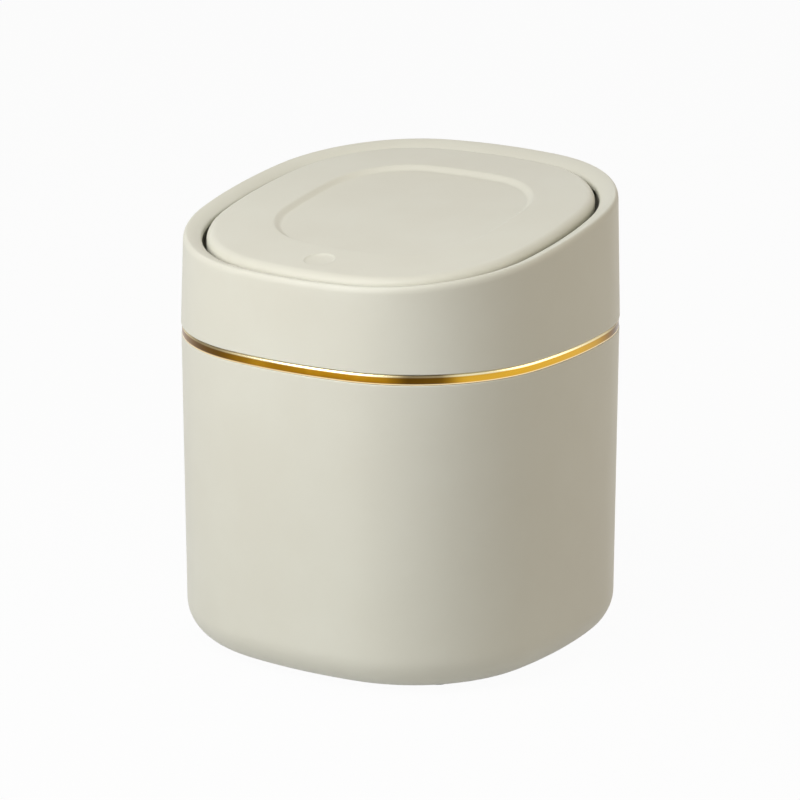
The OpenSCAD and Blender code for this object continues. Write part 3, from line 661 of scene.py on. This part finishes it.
def make_plunger():
    half_w, half_d, low, high = 5.7 * MM, 4.7 * MM, -13 * MM, -7 * MM
    cheek, jaw_room = 3 * MM, 3.1 * MM
    groove_w, groove_y, cup, cup_depth = 1.2 * MM, 3.4 * MM, 3.3 * MM, 3.5 * MM
    slider = block((-half_w, -half_d, low), (half_w, half_d, high + cheek), 0.4 * MM, 3)
    slot = block((-HALF, -jaw_room, high), (HALF, jaw_room, high + 2 * cheek))
    cut(slider, slot)
    groove = block((-groove_w, groove_y, low - MM), (groove_w, HALF, high + 2 * cheek))
    cut(slider, groove)
    drill(slider, Matrix.Translation((0, 0, low - MM)), cup, cup_depth)
    place(slider, LATCH_FRAME)
    slider.name = "latch_slider"
    smooth(slider)
    return slider


def make_jaws():
    arm, half, deep, foot = 1 * MM, 4.2 * MM, 5.6 * MM, -7 * MM
    hook_low, hook, hook_in, soft = 1.296 * MM, 1.1 * MM, 1.5 * MM, 0.22 * MM
    side = [(half, foot), (half, hook_low + hook / 2), (half - arm, hook_low + hook),
            (hook_in, hook_low + hook / 2), (hook_in, hook_low), (half - arm, hook_low),
            (half - arm, foot + arm)]
    outline = eased(side + [(-x, z) for x, z in reversed(side)], soft)
    clip = draw_section("latch_clip", outline, closed=True)
    bpy.ops.mesh.select_all(action="SELECT")
    bpy.ops.mesh.remove_doubles(threshold=MERGE)
    bpy.ops.mesh.edge_face_add()
    bpy.ops.transform.translate(value=(0, -deep / 2, 0))
    bpy.ops.mesh.extrude_region_move(TRANSFORM_OT_translate={"value": (0, deep, 0)})
    tidy_mesh()
    leave_edit()
    place(clip, LATCH_FRAME)
    smooth(clip)
    return clip


def make_striker():
    thick, reach = TONGUE, 50.5 * MM
    half_w, half_d, stem_w, stem_d, stem_top = 9 * MM, 4 * MM, 1.1 * MM, 3 * MM, 11 * MM
    head_radius, head_soft, through = 1.8 * MM, 0.35 * MM, 4 * MM
    base = -(PLATE_DROP + PLATE) * math.cos(TILT) - thick
    tongue = block((-half_w, -reach - half_d, base), (half_w, half_d - reach, base + thick),
                   0.4 * MM, 3)
    place(tongue, LID_FRAME)
    stem = block((-stem_w, -stem_d, 0), (stem_w, stem_d, stem_top + base + thick / 2))
    place(stem, LATCH_FRAME)
    head = rod(head_radius, 2 * stem_d, bevel=head_soft)
    place(head, LATCH_FRAME @ Matrix.Translation((0, stem_d, 0))
          @ Matrix.Rotation(math.pi / 2, 4, "X"))
    for piece in (stem, head):
        cut(tongue, piece, "UNION")
    for x, y in STRIKER_SCREWS:
        drill(tongue, LID_FRAME @ Matrix.Translation((x, y, base - MM)), SCREW_HOLE, through)
    tongue.name = "lid_tongue"
    smooth(tongue)
    return tongue


# Pan-head screws with a cross recess

def pan_screw(name, length, matrix):
    """A screw with its head's underside at z = 0 and its shank along +Z, put in its place."""
    shank, head, high = 1.2 * MM, 2.1 * MM, 1.3 * MM
    tip, crown, slot_long, slot_wide, slot_deep = 0.5 * MM, 0.9 * MM, 1.15 * MM, 0.27 * MM, 0.8 * MM
    side = [(0, length), (shank - tip, length), (shank, length - tip), (shank, 0), (head, 0)]
    side += [(head - crown * (1 - math.cos(t)), crown - high - crown * math.sin(t))
             for t in (math.pi / 2 * i / 6 for i in range(7))]
    side.append((0, -high))
    screw = draw_section(name, side)
    bpy.ops.mesh.select_all(action="SELECT")
    bpy.ops.mesh.spin(steps=32, angle=2 * math.pi, center=(0, 0, 0), axis=(0, 0, 1))
    tidy_mesh()
    leave_edit()
    for x, y in ((slot_long, slot_wide), (slot_wide, slot_long)):
        slot = block((-x, -y, -2 * MM), (x, y, slot_deep - high))
        cut(screw, slot)
    place(screw, matrix)
    smooth(screw, math.radians(40))
    return screw


def screw_set(name, length, matrices):
    return join([pan_screw(name, length, matrix) for matrix in matrices], name)


# Shader maths: a socket that can be used in sums, and a finish that adds its nodes

class Socket:
    def __init__(self, finish, link):
        self.finish, self.link = finish, link

    def __add__(self, other):
        return self.finish.maths("ADD", self, other)

    def __radd__(self, other):
        return self.finish.maths("ADD", other, self)

    def __sub__(self, other):
        return self.finish.maths("SUBTRACT", self, other)

    def __rsub__(self, other):
        return self.finish.maths("SUBTRACT", other, self)

    def __mul__(self, other):
        return self.finish.maths("MULTIPLY", self, other)

    def __rmul__(self, other):
        return self.finish.maths("MULTIPLY", other, self)


class Finish:
    def __init__(self, name):
        self.material = bpy.data.materials.new(name)
        self.material.use_nodes = True
        self.tree = self.material.node_tree
        self.tree.nodes.clear()
        self.shader = self.add("BsdfPrincipled")
        out = self.add("OutputMaterial")
        self.tree.links.new(self.shader.outputs[0], out.inputs["Surface"])
        self.place = Socket(self, self.add("TexCoord").outputs["Object"])

    def add(self, kind, settings=(), sockets=()):
        """Adds a node: its settings first, then the values or links of its sockets."""
        node = self.tree.nodes.new("ShaderNode" + kind)
        for key, value in dict(settings).items():
            if key == "stops":
                self.set_stops(node.color_ramp.elements, value)
            else:
                setattr(node, key, value)
        for key, value in dict(sockets).items():
            self.put(node.inputs[key], value)
        return node

    def put(self, socket, value):
        if isinstance(value, Socket):
            self.tree.links.new(value.link, socket)
        else:
            socket.default_value = value

    def set_stops(self, elements, stops):
        while len(elements) < len(stops):
            elements.new(0.5)
        for element, (position, colour) in zip(elements, stops):
            element.position = position
            element.color = colour

    def maths(self, operation, first, second):
        node = self.add("Math", {"operation": operation}, {0: first, 1: second})
        return Socket(self, node.outputs[0])

    def mixed(self, factor, first, second):
        node = self.add("Mix", {"data_type": "RGBA"}, {0: factor, 6: first, 7: second})
        return Socket(self, node.outputs[2])

    def noise(self, scale, detail=2.0, roughness=0.5, place=None):
        node = self.add("TexNoise", {}, {
            "Vector": place or self.place, "Scale": scale, "Detail": detail,
            "Roughness": roughness})
        return Socket(self, node.outputs["Fac"])

    def ramp(self, factor, *stops):
        grey = [(position, (value, value, value, 1)) for position, value in stops]
        node = self.add("ValToRGB", {"stops": grey}, {"Fac": factor})
        return Socket(self, node.outputs["Color"])

    def stretched(self, x, y, z):
        node = self.add("Mapping", {}, {"Vector": self.place, "Scale": (x, y, z)})
        return Socket(self, node.outputs[0])

    def parts(self):
        """The place's x, y and z."""
        node = self.add("SeparateXYZ", {}, {0: self.place})
        return [Socket(self, output) for output in node.outputs]

    def worn_edge(self, low, high):
        """A mask of the raised edges, from the surface's own curvature."""
        geometry = self.add("NewGeometry")
        return self.ramp(Socket(self, geometry.outputs["Pointiness"]), (low, 0), (high, 1))

    def bump(self, height, distance, strength=1.0):
        node = self.add("Bump", {}, {
            "Height": height, "Distance": distance, "Strength": strength})
        return Socket(self, node.outputs[0])

    def set(self, **sockets):
        for key, value in sockets.items():
            self.put(self.shader.inputs[key.replace("_", " ")], value)


def colour(red, green, blue):
    """Screen colour, 0 to 255, as the shader's linear colour."""
    shares = [value / 255 for value in (red, green, blue)]
    return tuple(s / 12.92 if s <= 0.04045 else ((s + 0.055) / 1.055) ** 2.4 for s in shares) + (1,)


def moulded_plastic(name, tone, pale, dull, roughness, grain):
    """Satin moulded plastic: fine spark grain, faint mottling, soft flow marks, polished edges."""
    finish = Finish(name)
    mottle = finish.noise(38, 3)
    cloud = finish.noise(9, 1)
    base = finish.mixed(finish.ramp(cloud, (0.35, 0), (0.65, 1)), dull, tone)
    base = finish.mixed(finish.ramp(mottle, (0.4, 0), (0.75, 0.35)), base, pale)
    base = finish.mixed(finish.worn_edge(0.53, 0.62) * 0.5, base, pale)
    spark = finish.noise(1500, 2, 0.6)
    fine = finish.noise(4200, 1)
    wave = finish.noise(26, 1)
    finish.set(
        Base_Color=base,
        Roughness=roughness + 0.05 * (mottle - 0.5) + 0.04 * (spark - 0.5),
        IOR=1.47,
        Normal=finish.bump(spark * 0.7 + fine * 0.3 + wave * 6, grain))
    return finish.material


def plated_gold():
    """Plated gold: drawn streaks round the band, painted dark reflections in patches and a painted
    bright reflection, both set by the angle round the band, and painted highlights along its
    bevels.
    """
    lower_edge, upper_edge, per_mm = 0.1158, 0.1176, 1000
    finish = Finish("plated_gold")
    x, y, height = finish.parts()
    streak = finish.noise(1, 3, 0.6, finish.stretched(30, 30, 1600))
    cloud = finish.noise(60, 3, 0.6)
    turn = finish.maths("ARCTAN2", y, x) * (0.5 / math.pi) + 0.5
    # Painted reflection: dark brown patches, set by the angle round the band, stand for the dark
    # reflections in the plated face.
    painted_dark_reflection = finish.ramp(turn + 0.012 * (cloud - 0.5), (0, 0.1), (0.05, 0.6), (0.13, 0.5),
                          (0.16, 0.9), (0.185, 0.85), (0.225, 0.1), (0.33, 0.15), (0.346, 0.95),
                          (0.37, 0.85), (0.385, 0), (0.5, 0), (0.545, 0.35), (0.57, 0.9),
                          (0.65, 0.1), (0.8, 0.6), (1, 0.1))
    # Painted highlight: bright yellow over one range of angles round the band, where the plated
    # face catches the light.
    glow = finish.ramp(turn, (0.37, 0), (0.39, 1), (0.53, 1), (0.56, 0))
    face = finish.mixed(finish.ramp(cloud, (0.4, 0), (0.62, 1)), colour(164, 116, 20),
                        colour(182, 133, 30))
    face = finish.mixed(glow, face, colour(222, 172, 56))
    face = finish.mixed(painted_dark_reflection, face, colour(84, 56, 12))
    # Painted highlights: cream along the upper bevel, dimmed under the painted dark reflections,
    # and peach along the lowest edge of the face.
    upper = finish.ramp((height - upper_edge) * per_mm, (0.1, 0), (0.4, 1))
    lower = finish.ramp((lower_edge - height) * per_mm, (0.1, 0), (0.35, 1))
    base = finish.mixed(upper * (1 - 0.85 * painted_dark_reflection), face, colour(255, 244, 200))
    base = finish.mixed(lower, base, colour(255, 234, 192))
    finish.set(
        Base_Color=base, Metallic=1.0,
        Roughness=0.17 + 0.1 * streak + 0.05 * cloud,
        Normal=finish.bump(streak + cloud * 8, 0.004 * MM))
    return finish.material


def drawn_steel():
    """Steel of the springs and screws: fine drawn grain, faint clouding."""
    finish = Finish("drawn_steel")
    grain = finish.noise(900, 3, 0.6)
    cloud = finish.noise(160, 2)
    base = finish.mixed(finish.ramp(cloud, (0.35, 0), (0.7, 1)), colour(186, 187, 189),
                        colour(206, 207, 208))
    finish.set(Base_Color=base, Metallic=1.0, Roughness=0.24 + 0.12 * grain,
               Normal=finish.bump(grain, 0.006 * MM))
    return finish.material


def soft_rubber():
    """Dark rubber of the feet and pads, dusty in places."""
    finish = Finish("soft_rubber")
    grain = finish.noise(1400, 3, 0.6)
    dust = finish.ramp(finish.noise(260, 3), (0.5, 0), (0.8, 0.5))
    base = finish.mixed(dust, colour(62, 61, 59), colour(92, 90, 86))
    finish.set(Base_Color=base, Roughness=0.62 + 0.2 * grain, Normal=finish.bump(grain, 0.03 * MM))
    return finish.material


def milky_acetal():
    """Milky, slightly waxy plastic of the latch."""
    finish = Finish("milky_acetal")
    cloud = finish.noise(120, 2)
    grain = finish.noise(1800, 2)
    base = finish.mixed(finish.ramp(cloud, (0.3, 0), (0.7, 1)), colour(226, 226, 220),
                        colour(238, 238, 234))
    finish.set(Base_Color=base, Roughness=0.26 + 0.08 * grain,
               Normal=finish.bump(grain, 0.006 * MM))
    return finish.material


# Pieces, the nodes they stand for and the bodies they ride on

SATIN = moulded_plastic("satin_shell", colour(221, 220, 206), colour(226, 226, 214),
                        colour(218, 216, 202), 0.46, 0.012 * MM)
INNER = moulded_plastic("inner_plastic", colour(212, 209, 196), colour(219, 217, 206),
                        colour(207, 204, 191), 0.5, 0.014 * MM)
FINISHES = {
    "shell": SATIN, "inner": INNER, "gold": plated_gold(), "steel": drawn_steel(),
    "rubber": soft_rubber(), "acetal": milky_acetal()}


def stand_for(piece, body, slot, *nodes):
    piece.data.materials.clear()
    piece.data.materials.append(FINISHES[slot])
    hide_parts(*nodes)
    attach(piece, body)


for row in frame["record"]["subparts"]:
    for face_slot in frame["nodes"][row["node"]].material_slots:
        face_slot.material = FINISHES[row["material_slot"]]

stand_for(make_bucket(), "bucket", "shell", "bucket")
stand_for(make_trim_ring(), "collar", "gold", "trim_ring")
stand_for(make_collar(), "collar", "shell", "collar")
stand_for(make_lid_top(), "lid", "shell", "lid_top")
stand_for(make_throat(), "collar", "inner", "throat")
stand_for(make_lid_plate(), "lid", "inner", "lid_plate")
stand_for(make_latch_spring(), "collar", "steel", "latch_spring")
stand_for(make_opener("opener_wire_left", -1), "collar", "steel", "opener_left")
stand_for(make_opener("opener_wire_right", 1), "collar", "steel", "opener_right")
stand_for(make_latch_case(), "collar", "acetal", "latch_housing")
stand_for(make_plunger(), "plunger", "acetal", "latch_plunger")
stand_for(make_jaws(), "plunger", "acetal", "latch_jaws")
stand_for(make_striker(), "lid", "acetal", "striker")

under_plate, ear_top = -(PLATE_DROP + PLATE) * math.cos(TILT), -10.2 * MM
stand_for(screw_set("lid_plate_screws", length=4.7 * MM, matrices=[
    LID_FRAME @ Matrix.Translation((x, y, under_plate)) for x, y in LID_SCREWS]),
    "lid", "steel", "lid_screws")
stand_for(screw_set("tongue_screws", length=3.3 * MM, matrices=[
    LID_FRAME @ Matrix.Translation((x, y, under_plate - TONGUE)) for x, y in STRIKER_SCREWS]),
    "lid", "steel", "striker_screws")
stand_for(screw_set("ring_screws", length=seat_top(0) - seat_low(0) + 8 * MM, matrices=[
    Matrix.Translation((x, y, seat_low(y))) for x, y in POSTS]),
    "collar", "steel", "throat_screws")
stand_for(screw_set("case_screws", length=4.8 * MM, matrices=[
    LATCH_FRAME @ Matrix.Translation((x, 0, ear_top)) @ Matrix.Rotation(math.pi, 4, "X")
    for x in EAR_SCREWS]),
    "collar", "steel", "latch_screws")


# Camera at the photograph's place

def aim_camera():
    azimuth, elevation = math.radians(33.0364), math.radians(16.0052)
    distance, focal = 1.4908076, 4057.0241
    back = Vector((math.sin(azimuth) * math.cos(elevation),
                   -math.cos(azimuth) * math.cos(elevation), math.sin(elevation)))
    right = Vector((math.cos(azimuth), math.sin(azimuth), 0))
    up = back.cross(right)
    aim = Vector((0, 0, 80 * MM)) - 0.3964 * MM * right + 6.8867 * MM * up
    data = bpy.data.cameras.new("camera")
    sensor, frame_width = 36, 800
    data.sensor_width = sensor
    data.lens = focal / frame_width * sensor
    data.clip_start, data.clip_end = 0.05, 50
    camera = bpy.data.objects.new("camera", data)
    turn = Matrix((right, up, back)).transposed().to_4x4()
    camera.matrix_world = Matrix.Translation(aim + distance * back) @ turn
    bpy.context.collection.objects.link(camera)
    bpy.context.scene.camera = camera


# Studio: pale floor, white surroundings and soft lamps

def lamp(name, place, aim, size, watts, tint=(1, 1, 1)):
    data = bpy.data.lights.new(name, "AREA")
    data.color = tint
    data.shape = "RECTANGLE"
    data.size, data.size_y = size
    data.energy = watts
    light = bpy.data.objects.new(name, data)
    turn = (Vector(aim) - Vector(place)).to_track_quat("-Z", "Y").to_matrix().to_4x4()
    light.matrix_world = Matrix.Translation(place) @ turn
    bpy.context.collection.objects.link(light)


def seen_directly(tree):
    """1 for camera, glossy and transmission rays."""
    path = tree.nodes.new("ShaderNodeLightPath")
    total = path.outputs["Is Camera Ray"]
    for name in ("Is Glossy Ray", "Is Transmission Ray"):
        node = tree.nodes.new("ShaderNodeMath")
        node.operation = "MAXIMUM"
        tree.links.new(total, node.inputs[0])
        tree.links.new(path.outputs[name], node.inputs[1])
        total = node.outputs[0]
    return total


def light_world(level):
    world = bpy.data.worlds.new("studio")
    bpy.context.scene.world = world
    world.use_nodes = True
    tree = world.node_tree
    tree.nodes.clear()
    ambient, white = (tree.nodes.new("ShaderNodeBackground") for _ in range(2))
    ambient.inputs["Color"].default_value = (1, 0.96, 0.9, 1)
    ambient.inputs["Strength"].default_value = level
    mix = tree.nodes.new("ShaderNodeMixShader")
    out = tree.nodes.new("ShaderNodeOutputWorld")
    tree.links.new(seen_directly(tree), mix.inputs[0])
    tree.links.new(ambient.outputs[0], mix.inputs[1])
    tree.links.new(white.outputs[0], mix.inputs[2])
    tree.links.new(mix.outputs[0], out.inputs["Surface"])


def lay_floor():
    """A pale floor that the camera sees nearly white, with the object's shadow."""
    seen_share = 0.96
    bpy.ops.object.select_all(action="DESELECT")
    bpy.ops.mesh.primitive_plane_add(size=8)
    floor = bpy.context.object
    floor.name = "floor"
    finish = Finish("pale_floor")
    finish.set(Base_Color=(0.62, 0.62, 0.62, 1), Roughness=0.9)
    tree = finish.tree
    glow = tree.nodes.new("ShaderNodeEmission")
    mix = tree.nodes.new("ShaderNodeMixShader")
    share = tree.nodes.new("ShaderNodeMath")
    share.operation = "MULTIPLY"
    tree.links.new(seen_directly(tree), share.inputs[0])
    share.inputs[1].default_value = seen_share
    tree.links.new(share.outputs[0], mix.inputs[0])
    tree.links.new(finish.shader.outputs[0], mix.inputs[1])
    tree.links.new(glow.outputs[0], mix.inputs[2])
    out = next(n for n in tree.nodes if n.type == "OUTPUT_MATERIAL")
    tree.links.new(mix.outputs[0], out.inputs["Surface"])
    floor.data.materials.append(finish.material)


aim_camera()
lay_floor()
light_world(0.2)
lamp("key", (-0.25, -0.69, 0.61), (0, 0, 0.09), (0.5, 0.5), 4.1)
lamp("overhead", (0, -0.3, 0.62), (0, 0, 0.16), (0.4, 0.4), 1.15)
lamp("front_fill", (-0.1, -0.8, 0.15), (0, 0, 0.09), (0.6, 0.6), 0.8)
lamp("warm_side", (0.72, 0.42, 0.42), (0, 0, 0.12), (0.6, 0.6), 1.75, (1, 0.84, 0.62))
lamp("rim_light", (-0.15, 0.8, 0.5), (0, 0, 0.15), (0.5, 0.4), 0.5)
bpy.context.scene.view_settings.view_transform = "Standard"
